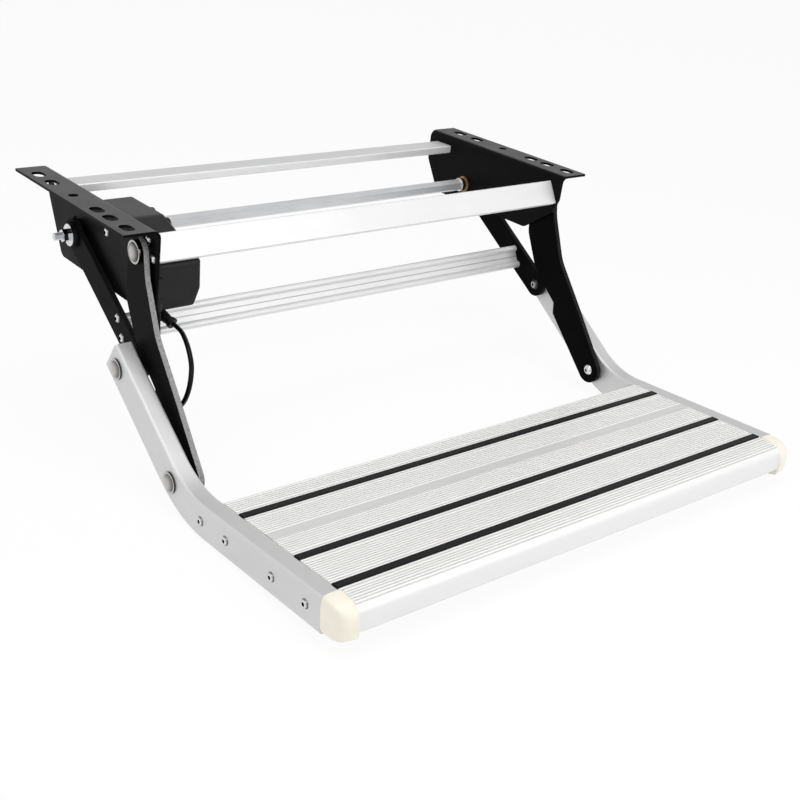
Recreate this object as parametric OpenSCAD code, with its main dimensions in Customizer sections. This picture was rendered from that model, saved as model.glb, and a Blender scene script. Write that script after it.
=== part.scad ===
// Electric pull-out entrance step for a caravan. Two flanged brackets bolt under the floor.
// A motor turns a shaft with two drive arms, and a second pair of arms steers the tread,
// which hangs between two bent rails, from its lowered place up under the floor.
// X runs across the step, the front is -Y, and the flanges' top face lies at z = 0.

/* [Width] */
// Clear width between the rails, which is also the length of the tread planks
tread_w = 600; // [450:10:800]
// Gap between a rail and the arms beside it
rail_gap = 4; // [3.5:0.1:5]
// Thickness of the folding arms
arm_t = 6; // [5:0.5:8]
// Gap between the arms and the bracket webs
web_gap = 3; // [2.9:0.1:4]
// Thickness of the bracket plates
plate_t = 3; // [2:0.5:4]

/* [Brackets] */
// Width of a mounting flange, measured from the inner face of its web
flange_w = 41.5; // [38:0.5:50]
// Reach of the flange in front of the round holes
flange_front = 142.5; // [140:0.5:160]
// Reach of the flange behind the round holes
flange_rear = 119.5; // [115:0.5:140]
// Outer radius of the bend between flange and web
bend_r = 9; // [7:0.5:11]
// Depth of the left web, which carries the motor
left_web_h = 98.5; // [96:0.5:102]
// Depth of the right web
right_web_h = 82; // [78:0.5:90]
// Distance of the hole row from the flange's outer edge
hole_edge = 14; // [11:0.5:16]
// Radius of the round flange hole
flange_hole_r = 5.5; // [4:0.25:6]
// Width of the flange slots
slot_w = 13; // [9:0.5:13]
// Length of the flange slots, end to end
slot_l = 21; // [18:0.5:24]

/* [Linkage] */
// Drive shaft, behind the round holes
shaft_y = 39; // [36:0.5:42]
// Drive shaft, below the flange
shaft_drop = 57; // [55:0.5:59]
// Upper pivot of the front arms, in front of the round holes
front_pivot_y = 112; // [110:0.5:114]
// Upper pivot of the front arms, below the flange
front_pivot_drop = 30; // [28:0.5:31]
// Length of the drive arms between pivots
drive_arm_l = 181.7; // [178:0.1:186]
// Slope of the lowered drive arms, in degrees below the horizontal
drive_arm_slope = 32.6; // [31:0.1:34]
// Half the width of the drive arms
drive_arm_r = 15.5; // [14:0.5:17]
// Half the width of the front arms at their lower end
front_arm_r = 17; // [16:0.5:19]
// Half the width of the front arms at their upper end
front_arm_top_r = 16; // [15:0.5:18]

/* [Rails] */
// Width of the rail tube, across the step
rail_w = 20; // [18:0.5:25]
// Height of the rail tube
rail_h = 39; // [38:0.5:44]
// Wall of the rail tube
rail_wall = 2; // [1.5:0.1:3]
// Corner radius of the rail tube
rail_r = 3; // [2.5:0.1:4]
// Slope of the upper run of a rail, in degrees below the horizontal
rail_slope = 34.6; // [33:0.1:36]
// Length of the upper run from the drive arm's pivot to the bend's corner
rail_upper_l = 168; // [165:0.5:172]
// Overhang of the upper run past the drive arm's pivot
rail_overhang = 18; // [17.5:0.5:24]
// Spacing of the two arm pivots along a rail
pivot_spacing = 140; // [138:0.5:142]
// Centreline radius of the bend
rail_bend_r = 120; // [110:1:130]
// Rise of the tread towards its nose, in degrees
tread_tilt = 3.2; // [2:0.1:5]
// Length of the lower run from the bend's corner to its front end
rail_lower_l = 242; // [240:0.5:250]

/* [Tread] */
// Distance of the tread's rear edge from the bend's corner, along the rail
tread_setback = 50.5; // [49:0.5:53]
// Reach of the tread's nose in front of the rails' ends
nose_reach = 28; // [26:0.5:30]
// Height of the planks
plank_h = 31; // [30:0.5:34]
// Wall of the hollow planks
plank_wall = 2.5; // [2:0.1:3.5]
// Rise of the rails above the tread's top
rail_lip = 0.5; // [0.3:0.1:3]
// Spacing of the ribs on the tread
rib_pitch = 3.3; // [2.8:0.1:5]
// Depth of the grooves between the ribs
rib_depth = 1; // [0.6:0.1:1.4]
// Width of the grip strips
strip_w = 10; // [8:0.5:11]
// Thickness of the grip strips
strip_t = 3.4; // [3:0.1:3.8]
// Depth of the channels that hold the grip strips
strip_seat = 2.2; // [1.8:0.1:2.5]
// Radius of the tread's nose
nose_r = 13; // [10:0.5:15]
// Length of the end caps in front of the rails
cap_l = 31; // [29:0.5:33]
// How far the end caps stand proud of the rails
cap_lip = 0.8; // [0.4:0.1:1.2]

/* [Crossbars] */
// Width of the upper crossbars
bar_w = 30; // [28:0.5:32]
// Thickness of the upper crossbars
bar_t = 10; // [9:0.5:11]
// Lean of the front crossbar, in degrees from upright
front_bar_lean = 29.5; // [28:0.5:31]
// Lean of the lower crossbar, in degrees from upright
lower_bar_lean = 26; // [24:0.5:28]
// Height of the lower crossbar's section
lower_bar_h = 30; // [28:0.5:32]
// Spacing of the two screws in each end of the upper crossbars
bar_screw_spacing = 20; // [17:0.5:21]

/* [Drive] */
// Width across flats of the drive shaft
shaft_af = 14; // [13:0.5:14.5]
// Radius of the shaft's journals
journal_r = 6; // [5.8:0.1:6.3]
// Width of the motor cover, inwards from the left web
cover_w = 60; // [58:0.5:66]
// Wall of the motor cover
cover_wall = 2.5; // [2:0.1:3]
// Radius of the motor can
motor_r = 24; // [22:0.5:24.5]
// Diameter of the motor lead
lead_d = 6; // [5:0.25:6]

/* [Fits] */
// Radial clearance where something turns
running_gap = 0.05; // [0.03:0.01:0.08]
// Radial clearance of a screw in its hole
screw_gap = 0.15; // [0.1:0.05:0.3]
// Free gap between parts that pass each other
part_gap = 0.3; // [0.25:0.05:0.4]

/* [Hidden] */
$fn = 48;
SIDES = [-1, 1];

// Layers across the width, from the tread out to the rails and back in to the webs
rail_in = tread_w / 2;
rail_out = rail_in + rail_w;
arm_out = rail_in - rail_gap;
arm_in = arm_out - arm_t;
web_out = arm_in - web_gap;
web_in = web_out - plate_t;
hole_x = web_in + flange_w - hole_edge;
slot_ys = [88.5, 53, -56, -86, -122];

// Pivots in the side view, as [y, z]
pivot_a = [shaft_y, -shaft_drop];
pivot_b = [-front_pivot_y, -front_pivot_drop];
pivot_c = pivot_a - drive_arm_l * [cos(drive_arm_slope), sin(drive_arm_slope)];
rail_dir = [-cos(rail_slope), -sin(rail_slope)];
pivot_d = pivot_c + pivot_spacing * rail_dir;

// Rail centreline: its corner, the tangent length of the bend and the tread's rear edge
rail_corner = pivot_c + rail_upper_l * rail_dir;
tread_dir = [-cos(tread_tilt), sin(tread_tilt)];
tread_up = [sin(tread_tilt), cos(tread_tilt)];
bend_angle = rail_slope + tread_tilt;
bend_run = rail_bend_r * tan(bend_angle / 2);
bend_centre = rail_corner + bend_run * tread_dir + rail_bend_r * tread_up;
port_drop = rail_h / 2 - rail_lip;
tread_rear = rail_corner + tread_setback * tread_dir + port_drop * tread_up;
rail_end_u = rail_lower_l - tread_setback;
tread_depth = rail_end_u + nose_reach;
bend_lap = 0.5;
bend_step = 0.05;

// Tread sections, as distances from the tread's rear edge
strip_us = [31, tread_depth - 94, tread_depth - 35.5];
plain_band = [72.5, 85];
plank_split = plain_band[1];
plank_joint = 0.4;
skirt_run = 18;
skirt_drop = 10;
rear_ports = [-12.5, 34];
front_ports = [rail_end_u - 77.5, rail_end_u - 23.5];
port_r = 4.5;

// Screws and bolts
screw_r = 2.5;
screw_head_r = 5.2;
screw_head_h = 2.5;
screw_grip = 18;
pivot_r = 5;
pivot_head_r = 9.5;
pivot_head_h = 3.3;
pivot_flange_r = 11.5;
pivot_flange_t = 2;
pivot_inner_r = 5.6;
front_flange_r = 12.5;
front_flange_t = 3;
washer_r = 10;
shaft_washer_r = 12.5;
shaft_washer_t = 2;
boss_t = 3;
stub_r = 4;
stub_l = 22;
nut_af = 13;
nut_t = 7.5;
socket_af = 4;
socket_depth = 1.6;

// Crossbars in the side view
bar_corner_r = 1.5;
front_bar_at = [-125.4, -24.9];
rear_bar_at = [90, -17.2];
lower_bar_at = pivot_c + [41, 26.8];
bead_r = 4.2;
bead_at = lower_bar_h / 2 - bead_r;

// Motor and gearbox behind the left web
cover_in = web_in - cover_w;
cover_low = -97;
cover_top = -19.5;
cover_front = -119;
cover_rear = 60;
cover_break = -38;
cover_brow = -46;
cover_fall = atan((cover_top - cover_brow) / (cover_break - cover_front));
cover_bevel = 24;
cover_round = 14;
cover_brow_round = 4;
cover_low_round = 28;
cover_bosses = [[-27, -36], [-107.5, -74]];
boss_r = 4.5;
lugs = [[-10, -24.5], [-44, -26.5]];
lug_r = 7.5;
lug_l = 17.5;
lug_out = -2;
motor_x = web_in - 29;
motor_z = -65;
motor_l = 98;
motor_boss_r = 9;
motor_boss_l = 5;
gear_front = 14;
gear_rear = 55;
gear_low = -92;
gear_top = -40;
gear_w = 42;
hub_r = 12;
gear_screws = [[51, -45], [21, -84], [48, -84]];
bush_r = 9;
bush_flange_r = 10.8;
bush_flange_t = 3;
collar_r = 9;
collar_l = 7;

// Motor lead: from the gland it swings forward and down and comes back up to its plug
gland_at = [-266, -101];
gland_neck = 6.5;
gland_dir = [0.35, -0.838, -0.394];
gland_l = 23;
gland_r = 6.8;
gland_tip_r = 4.8;
gland_collar_r = 6.2;
gland_collar_l = 4;
gland_ribs = 5;
plug_at = [-279.5, -127, -82];
plug_size = [8.6, 11, 26];
plug_neck = 10;
lead_gap = 0.1;
lead_bends = [
    [-255.2, -134, -117.5], [-256.3, -142, -120.5], [-257.8, -149.5, -124], [-259.5, -156.5, -128],
    [-261.5, -164, -134], [-263.5, -170, -141], [-266, -174, -149], [-268.5, -176, -158.5],
    [-271, -176, -168], [-273.5, -173.5, -177.5], [-276, -168, -186], [-278, -160, -191.5],
    [-279.5, -151, -192], [-280, -143, -187.5], [-280, -136.5, -179.5], [-280, -132, -168.5],
    [-279.5, -129.5, -156], [-279.5, -128, -142], [-279.5, -127.2, -128], [-279.5, -127, -115],
    [-279.5, -127, -104]
];

// Helpers

// Draws the right-hand side as it is and the left-hand side mirrored
module on_side(side) {
    if (side < 0) mirror([1, 0, 0]) children();
    else children();
}

module both_sides() {
    for (side = SIDES) on_side(side) children();
}

// Turns a side view drawn in [y, z] into a plate that starts at x0
module plate(x0, t) {
    translate([x0, 0, 0]) rotate([90, 0, 90]) linear_extrude(t) children();
}

// Places something drawn along +Z so that it points to +X at a side-view point
module along_x(x0, at) {
    translate([x0, at[0], at[1]]) rotate([0, 90, 0]) children();
}

module rounded_box(w, h, r) {
    square([w - 2 * r, h], center = true);
    square([w, h - 2 * r], center = true);
    for (x = SIDES, y = SIDES) translate([x * (w / 2 - r), y * (h / 2 - r)]) circle(r);
}

function unit(v) = v / norm(v);

// The arc that rounds corner b between its neighbours a and c
function corner_arc(a, b, c, r, steps = 6) =
    r == 0 ? [b] :
    let (
        u = unit(a - b),
        v = unit(c - b),
        half = acos(u * v) / 2,
        middle = b + unit(u + v) * r / sin(half),
        from = b + u * r / tan(half) - middle,
        to = b + v * r / tan(half) - middle,
        start = atan2(from[1], from[0]),
        turn = (atan2(to[1], to[0]) - start + 540) % 360 - 180
    )
    [for (i = [0:steps]) middle + r * [cos(start + turn * i / steps), sin(start + turn * i / steps)]];

function rounded(points, radii) =
    let (n = len(points))
    [for (i = [0:n - 1])
        each corner_arc(points[(i + n - 1) % n], points[i], points[(i + 1) % n], radii[i])];

// A straight bar with round ends and a wider eye at its start, lying along the first axis
module eye_bar(length, r, eye_r) {
    translate([0, -r]) square([length, 2 * r]);
    translate([length, 0]) circle(r);
    circle(eye_r);
}

// A domed head on z = 0 with a socket in it, standing on +Z
module domed_head(r, h) {
    dome = (r * r + h * h) / (2 * h);
    difference() {
        rotate_extrude() intersection() {
            translate([0, h - dome]) circle(dome);
            square([r, h]);
        }
        translate([0, 0, h - socket_depth]) cylinder(d = socket_af / cos(30), h = socket_depth + 1, $fn = 6);
    }
}

// A smooth pivot head on z = 0: a flat flange with a dome on it
module pivot_head(flange_r, flange_t, r, h) {
    dome = (r * r + h * h) / (2 * h);
    cylinder(r = flange_r, h = flange_t);
    translate([0, 0, flange_t]) rotate_extrude() intersection() {
        translate([0, h - dome]) circle(dome);
        translate([0, -flange_t / 2]) square([r, h + flange_t]);
    }
}

// A screw whose head stands on +Z and whose shank runs down from z = 0
module screw(shank_r, shank_l, head_r, head_h) {
    domed_head(head_r, head_h);
    translate([0, 0, -shank_l]) cylinder(r = shank_r, h = shank_l);
}

module bore(at, r, x0, length) {
    along_x(x0, at) cylinder(r = r, h = length);
}

module hexagon(af, h) {
    cylinder(d = af / cos(30), h = h, $fn = 6);
}

// Brackets

left_web = rounded(
    [[-flange_front, 0], [-flange_front + 7.5, -left_web_h + 14.5], [-flange_front + 30.5, -left_web_h],
     [flange_rear - 30.5, -left_web_h], [flange_rear + 0.5, -30], [flange_rear, 0]],
    [0, 8, 8, 10, 8, 0]);

right_web = rounded(
    [[-flange_front, 0], [-flange_front + 2, -31], [-flange_front + 10.5, -50],
     [-flange_front + 57.5, -right_web_h], [flange_rear - 23.5, -right_web_h],
     [flange_rear + 1.5, -40], [flange_rear, 0]],
    [0, 8, 8, 8, 10, 8, 0]);

function bar_screws(at, lean) =
    [for (s = SIDES) at + s * bar_screw_spacing / 2 * [sin(lean), cos(lean)]];

front_bar_screws = bar_screws(front_bar_at, front_bar_lean);
rear_bar_screws = bar_screws(rear_bar_at, 90);
lower_bar_screws = [for (s = SIDES) lower_bar_at + s * bead_at * [sin(lower_bar_lean), cos(lower_bar_lean)]];
upper_bar_screws = concat(front_bar_screws, rear_bar_screws);

module bend_section(depth) {
    translate([web_in, -depth]) square([plate_t, depth - bend_r]);
    translate([web_in + bend_r, -plate_t]) square([flange_w - bend_r, plate_t]);
    translate([web_in + bend_r, -bend_r]) intersection() {
        difference() {
            circle(bend_r);
            circle(bend_r - plate_t);
        }
        translate([-bend_r, 0]) square(bend_r);
    }
}

module flange_slot(y) {
    reach = (slot_l - slot_w) / 2;
    translate([hole_x, y, -plate_t - 1]) linear_extrude(plate_t + 2) {
        for (s = SIDES) translate([0, s * reach]) circle(slot_w / 2);
        square([slot_w, 2 * reach], center = true);
    }
}

module bracket(outline, depth) {
    through = plate_t + 2;
    length = flange_front + flange_rear;
    difference() {
        intersection() {
            translate([0, flange_rear + 2, 0]) rotate([90, 0, 0]) linear_extrude(length + 4) bend_section(depth);
            plate(web_in, flange_w) polygon(outline);
        }
        for (y = slot_ys) flange_slot(y);
        translate([hole_x, 0, -plate_t - 1]) cylinder(r = flange_hole_r, h = through);
        bore(pivot_a, bush_r + screw_gap, web_in - 1, through);
        bore(pivot_b, pivot_r + screw_gap, web_in - 1, through);
        for (at = upper_bar_screws) bore(at, screw_r + screw_gap, web_in - 1, through);
        children();
    }
}

module left_bracket() {
    color("#26262a") on_side(-1) bracket(left_web, left_web_h)
        for (at = concat(gear_screws, cover_bosses)) bore(at, screw_r + screw_gap, web_in - 1, plate_t + 2);
}

module right_bracket() {
    color("#26262a") bracket(right_web, right_web_h);
}

// Upper crossbars

module crossbar(at, lean, screws) {
    depth = screw_grip + 2;
    difference() {
        plate(-web_in, 2 * web_in) translate(at) rotate(-lean) rounded_box(bar_t, bar_w, bar_corner_r);
        for (side = SIDES, spot = screws)
            on_side(side) bore(spot, screw_r + screw_gap, web_in - depth, depth + 1);
    }
}

module front_crossbar() {
    color("#d8d9da") crossbar(front_bar_at, front_bar_lean, front_bar_screws);
}

module rear_crossbar() {
    color("#d8d9da") crossbar(rear_bar_at, 90, rear_bar_screws);
}

module crossbar_screws() {
    color("#c4c5c7") both_sides() for (at = upper_bar_screws)
        along_x(web_out, at) screw(screw_r, screw_grip, screw_head_r, screw_head_h);
}

// Shaft bearings and the upper pivots of the front arms

module shaft_bushes() {
    outer = web_gap - part_gap;
    color("#b08a4e") both_sides() difference() {
        union() {
            along_x(web_in - bush_flange_t, pivot_a) cylinder(r = bush_flange_r, h = bush_flange_t);
            along_x(web_in - bush_flange_t, pivot_a) cylinder(r = bush_r, h = bush_flange_t + plate_t + outer);
        }
        bore(pivot_a, journal_r + running_gap, web_in - bush_flange_t - 1, web_gap + plate_t + bush_flange_t + 2);
    }
}

module front_pivot_spacers() {
    length = web_gap - part_gap;
    color("#9c9da0") both_sides() difference() {
        along_x(web_out, pivot_b) cylinder(r = washer_r, h = length);
        bore(pivot_b, pivot_r + screw_gap, web_out - 1, length + 2);
    }
}

module front_pivot_bolts() {
    head_x = arm_out + part_gap;
    shank = head_x - web_in + nut_t;
    color("#c8c9cb") both_sides() along_x(head_x, pivot_b) {
        pivot_head(front_flange_r, front_flange_t, pivot_head_r + 1, pivot_head_h + 0.7);
        translate([0, 0, -shank]) cylinder(r = pivot_r, h = shank);
    }
}

module front_pivot_nuts() {
    color("#b9babd") both_sides() difference() {
        along_x(web_in - nut_t, pivot_b) hexagon(nut_af, nut_t);
        bore(pivot_b, pivot_r + screw_gap, web_in - nut_t - 1, nut_t + 2);
    }
}

// Motor, gearbox and cover

// Side view of the cover without its top: front, bevelled rear and bottom, set in by t
function cover_side(t) =
    let (bevel_line = cover_rear + cover_top - cover_bevel - t * sqrt(2))
    [[cover_front + t, cover_low + t], [cover_front + t, cover_top + 10], [bevel_line - cover_top - 10, cover_top + 10],
     [cover_rear - t, bevel_line - cover_rear + t], [cover_rear - t, cover_low + t]];

// Upper part of the cover's section across the step, from the web inwards, with its inner edge rounded
module cover_crown(t, top, depth, round) {
    w = cover_w - t;
    r = round - t;
    translate([-web_in, top - t]) {
        translate([-4, -depth]) square([w + 4 - r, depth]);
        translate([-4, -depth]) square([w + 4, depth - r]);
        translate([w - r, -r]) circle(r);
    }
}

// The whole section, with its lower inner edge rounded too
module cover_section(t) {
    w = cover_w - t;
    r = cover_low_round - t;
    low = cover_low + t - 1;
    intersection() {
        cover_crown(t, cover_top, 2 * (cover_top - cover_low), cover_round);
        translate([-web_in, low]) {
            translate([-4, 0]) square([w + 4 - r, 100]);
            translate([-4, r]) square([w + 4, 100]);
            translate([w - r, r]) circle(r);
        }
    }
}

// The cover's solid form set in by t: its top runs level, then falls towards the front
module cover_form(t) {
    length = cover_rear - cover_front;
    intersection() {
        plate(-web_in, cover_w) polygon(rounded(cover_side(t), [6 - t, 0, 0, 10 - t, 10 - t]));
        translate([0, cover_rear, 0]) rotate([90, 0, 0]) linear_extrude(length) cover_section(t);
        translate([0, cover_break, cover_top]) rotate([90 + cover_fall, 0, 0])
            translate([0, 0, -length]) linear_extrude(2 * length) cover_crown(t, 0, length, cover_brow_round);
    }
}

module motor_cover() {
    boss_l = cover_w - cover_wall + 0.5;
    color("#202022") difference() {
        union() {
            difference() {
                union() {
                    cover_form(0);
                    for (at = lugs) along_x(-cover_in - lug_l + lug_out, at) cylinder(r = lug_r, h = lug_l);
                }
                translate([-0.5, 0, 0]) cover_form(cover_wall);
            }
            for (at = cover_bosses) along_x(-web_in, at) cylinder(r = boss_r, h = boss_l);
        }
        for (at = cover_bosses) bore(at, screw_r + screw_gap, -web_in - 1, screw_grip + 2);
        bore(pivot_a, hub_r + 2, -cover_in - cover_wall - 2, cover_wall + 6);
    }
}

module motor_can() {
    color("#55565a") translate([-motor_x, gear_front, motor_z]) rotate([90, 0, 0]) {
        cylinder(r = motor_r, h = motor_l);
        translate([0, 0, motor_l]) cylinder(r = motor_boss_r, h = motor_boss_l);
    }
}

module gearbox_housing() {
    mid = [(gear_front + gear_rear) / 2, (gear_low + gear_top) / 2];
    color("#8d8f93") difference() {
        plate(-web_in, gear_w) translate(mid) rounded_box(gear_rear - gear_front, gear_top - gear_low, 8);
        bore(pivot_a, hub_r + running_gap, -web_in - 1, gear_w + 2);
        for (at = gear_screws) bore(at, screw_r + screw_gap, -web_in - 1, screw_grip + 2);
    }
}

module web_screws(spots) {
    on_side(-1) for (at = spots) along_x(web_out, at) screw(screw_r, screw_grip, screw_head_r, screw_head_h);
}

module gearbox_screws() {
    color("#c4c5c7") web_screws(gear_screws);
}

module cover_screws() {
    color("#c4c5c7") web_screws(cover_bosses);
}

// Motor lead

gland_start = [gland_at[0], gland_at[1], cover_low - gland_neck];
gland_axis = unit(gland_dir);

// The whole route: square out of the gland, through the bends, and square into the plug
lead_route = concat(
    [gland_start + (gland_l + lead_gap) * gland_axis, gland_start + (gland_l + lead_d) * gland_axis],
    lead_bends,
    [plug_at - [0, 0, plug_neck + lead_gap]]);

module motor_lead_gland() {
    ribbed = gland_l - gland_collar_l;
    pitch = ribbed / gland_ribs;
    taper = (gland_r - gland_tip_r) / gland_ribs;
    color("#1b1b1d") {
        translate([gland_at[0], gland_at[1], cover_low - gland_neck - 2]) cylinder(r = gland_r, h = gland_neck + 2);
        translate(gland_start)
            rotate([0, acos(gland_axis[2]), atan2(gland_axis[1], gland_axis[0])])
            rotate_extrude() {
                square([gland_tip_r - 0.9, gland_l]);
                for (i = [0:gland_ribs - 1])
                    translate([0, i * pitch]) square([gland_r - taper * i, pitch * 0.6]);
                translate([0, ribbed]) square([gland_collar_r, gland_collar_l]);
            }
    }
}

// Rings round the lead's route, square to it, for a tube with flat sides
lead_sides = 10;

function lead_ring(i) =
    let (
        n = len(lead_route),
        t = unit(lead_route[min(i + 1, n - 1)] - lead_route[max(i - 1, 0)]),
        s = unit(cross(t, [1, 0, 0])),
        w = cross(s, t)
    )
    [for (k = [0:lead_sides - 1])
        lead_route[i] + lead_d / 2 * (cos(360 * k / lead_sides) * s + sin(360 * k / lead_sides) * w)];

module motor_lead() {
    n = len(lead_route);
    m = lead_sides;
    points = [for (i = [0:n - 1]) each lead_ring(i)];
    walls = [for (i = [0:n - 2], k = [0:m - 1])
        let (a = i * m + k, b = i * m + (k + 1) % m)
        each [[a, b, a + m], [b, b + m, a + m]]];
    ends = [[for (k = [m - 1:-1:0]) k], [for (k = [0:m - 1]) (n - 1) * m + k]];
    color("#18181a") polyhedron(points, concat(walls, ends));
}

module motor_lead_plug() {
    color("#1d1d1f") {
        translate(plug_at - [0, 0, plug_neck]) cylinder(r = 4.2, h = plug_neck + 1);
        translate(plug_at + [0, 0, plug_size[2] / 2]) cube(plug_size, center = true);
        translate(plug_at + [0, 0, 3]) cube([plug_size[0], plug_size[1] + 2, 3], center = true);
    }
}

// Drive shaft and drive arms

module drive_shaft() {
    bar_end = web_in - bush_flange_t - collar_l;
    color("#b7babd") {
        along_x(-bar_end, pivot_a) hexagon(shaft_af, 2 * bar_end);
        both_sides() {
            along_x(bar_end, pivot_a) cylinder(r = journal_r, h = arm_in - bar_end);
            along_x(arm_in, pivot_a) hexagon(2 * journal_r * cos(30), arm_t + boss_t);
            along_x(arm_out + boss_t, pivot_a) cylinder(r = stub_r, h = stub_l - boss_t);
        }
    }
}

module output_hub() {
    start = web_in - bush_flange_t - collar_l;
    length = cover_w - bush_flange_t - collar_l + 4;
    color("#9a9ca0") difference() {
        along_x(-start, pivot_a) cylinder(r = hub_r, h = length);
        along_x(-start - 1, pivot_a) hexagon(shaft_af + 2 * screw_gap, length + 2);
    }
}

module shaft_collar() {
    start = web_in - bush_flange_t - part_gap - collar_l;
    color("#b7babd") difference() {
        along_x(start, pivot_a) cylinder(r = collar_r, h = collar_l);
        along_x(start - 1, pivot_a) hexagon(shaft_af + 2 * screw_gap, collar_l + 2);
    }
}

module drive_arm() {
    difference() {
        union() {
            plate(arm_in, arm_t) translate(pivot_a) rotate(180 + drive_arm_slope)
                eye_bar(drive_arm_l, drive_arm_r, drive_arm_r + 2);
            along_x(arm_out - arm_t / 2, pivot_a) cylinder(r = drive_arm_r - 1, h = arm_t / 2 + boss_t);
        }
        along_x(arm_in - 1, pivot_a) hexagon(2 * (journal_r * cos(30) + screw_gap), arm_t + boss_t + 2);
        bore(pivot_c, pivot_r + running_gap, arm_in - 1, arm_t + 2);
        for (at = lower_bar_screws) bore(at, screw_r + screw_gap, arm_in - 1, arm_t + 2);
    }
}

module left_drive_arm() {
    color("#26262a") on_side(-1) drive_arm();
}

module right_drive_arm() {
    color("#26262a") drive_arm();
}

module shaft_washers() {
    color("#b9babd") both_sides() difference() {
        along_x(arm_out + boss_t, pivot_a) cylinder(r = shaft_washer_r, h = shaft_washer_t);
        bore(pivot_a, stub_r + screw_gap, arm_out + boss_t - 1, shaft_washer_t + 2);
    }
}

module shaft_nuts() {
    color("#c8c9cb") both_sides() difference() {
        along_x(arm_out + boss_t + shaft_washer_t, pivot_a) hexagon(nut_af, nut_t);
        bore(pivot_a, stub_r + screw_gap, arm_out + boss_t + shaft_washer_t - 1, nut_t + 2);
    }
}

// Section of the lower crossbar: two beads, and a web between them set back from its front, with a groove
module lower_bar_section() {
    groove = 1.2;
    difference() {
        union() {
            for (s = SIDES) translate([0, s * bead_at]) circle(bead_r);
            translate([-0.4, -bead_at]) square([bead_r - 0.2, 2 * bead_at]);
        }
        translate([-1.4, -groove / 2]) square([2.2, groove]);
    }
}

module lower_crossbar() {
    depth = screw_grip + 2;
    difference() {
        plate(-arm_in, 2 * arm_in) translate(lower_bar_at) rotate(-lower_bar_lean) lower_bar_section();
        for (side = SIDES, at = lower_bar_screws)
            on_side(side) bore(at, screw_r + screw_gap, arm_in - depth, depth + 1);
    }
}

module lower_crossbar_screws() {
    color("#c4c5c7") both_sides() for (at = lower_bar_screws)
        along_x(arm_out, at) screw(screw_r, screw_grip, screw_head_r, screw_head_h);
}

// Front arms: a hooked bar whose rear edge lies against the drive arm when the step is down

stop_dir = unit(pivot_c - pivot_a);
stop_up = [stop_dir[1], -stop_dir[0]];
arm_dir = unit([-1, -0.985]);
arm_side = [arm_dir[1], -arm_dir[0]];
stop_gap = 1;

function past_c(angle, r) = pivot_c + r * [cos(angle), sin(angle)];

front_arm_points = [
    pivot_b + front_arm_top_r * [-1, 0],
    pivot_b + [-front_arm_top_r - 2.5, -24],
    pivot_b + [-40.5, -80],
    pivot_b + [-81, -130],
    pivot_d + front_arm_r * arm_side,
    pivot_d - front_arm_r * arm_side,
    pivot_c + [-40, -27.5],
    pivot_c + [-38.5, -12.5],
    past_c(135, drive_arm_r + stop_gap) + [-14.5, -14],
    past_c(135, drive_arm_r + stop_gap) + [17, 16],
    pivot_b + [24, -55],
    pivot_b + front_arm_top_r * [1, 0]
];

module front_arm() {
    difference() {
        plate(arm_in, arm_t) {
            polygon(rounded(front_arm_points, [0, 60, 60, 0, 0, 0, 3, 3, 40, 12, 30, 0]));
            translate(pivot_b) circle(front_arm_top_r);
            translate(pivot_d) circle(front_arm_r);
        }
        bore(pivot_b, pivot_r + running_gap, arm_in - 1, arm_t + 2);
        bore(pivot_d, pivot_r + screw_gap, arm_in - 1, arm_t + 2);
    }
}

module left_front_arm() {
    color("#26262a") on_side(-1) front_arm();
}

module right_front_arm() {
    color("#26262a") front_arm();
}

// Half of the lower pivot that stays with a front arm
module arm_stud() {
    along_x(arm_in, pivot_d) mirror([0, 0, 1]) screw(pivot_r, arm_t, pivot_inner_r + 1, 3.5);
}

module left_arm_stud() {
    color("#c8c9cb") on_side(-1) arm_stud();
}

module right_arm_stud() {
    color("#c8c9cb") arm_stud();
}

// Rails

// Section of the tube, with both faces of its wall set in by e
module rail_section(e = 0) {
    hollow = rail_wall - e;
    difference() {
        rounded_box(rail_w - 2 * e, rail_h - 2 * e, rail_r - e);
        rounded_box(rail_w - 2 * hollow, rail_h - 2 * hollow, rail_r - rail_wall / 2 + e);
    }
}

// The bent tube, drawn about the centre of its bend: the lower run, the bend and the upper run
module rail_tube() {
    translate([rail_in + rail_w / 2, bend_centre[0], bend_centre[1]])
        rotate([0, 90, 0]) rotate([0, 0, -tread_tilt]) {
            translate([rail_bend_r, bend_lap, 0]) rotate([90, 0, 0])
                linear_extrude(rail_lower_l - bend_run + bend_lap) rotate(90) rail_section();
            rotate_extrude(angle = bend_angle) translate([rail_bend_r, 0]) rotate(90) rail_section(bend_step);
            rotate([0, 0, bend_angle]) translate([rail_bend_r, -bend_lap, 0]) rotate([-90, 0, 0])
                linear_extrude(rail_upper_l + rail_overhang - bend_run + bend_lap) rotate(90) rail_section();
        }
}

function tread_point(u, drop) = tread_rear + u * tread_dir - drop * tread_up;

rail_screw_spots = [for (u = concat(rear_ports, front_ports)) tread_point(u, port_drop)];

module rail() {
    difference() {
        rail_tube();
        for (at = [pivot_c, pivot_d]) bore(at, pivot_r + screw_gap, rail_in - 1, rail_w + 2);
        for (at = rail_screw_spots) bore(at, screw_r + screw_gap, rail_in - 1, rail_w + 2);
    }
}

module left_rail() {
    color("#cfd0d2") on_side(-1) rail();
}

module right_rail() {
    color("#cfd0d2") rail();
}

// Draws in the tread's own view: the first value forward from its rear edge, the second up
module tread_view() {
    translate(tread_rear) rotate(-tread_tilt) mirror([1, 0]) children();
}

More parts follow.
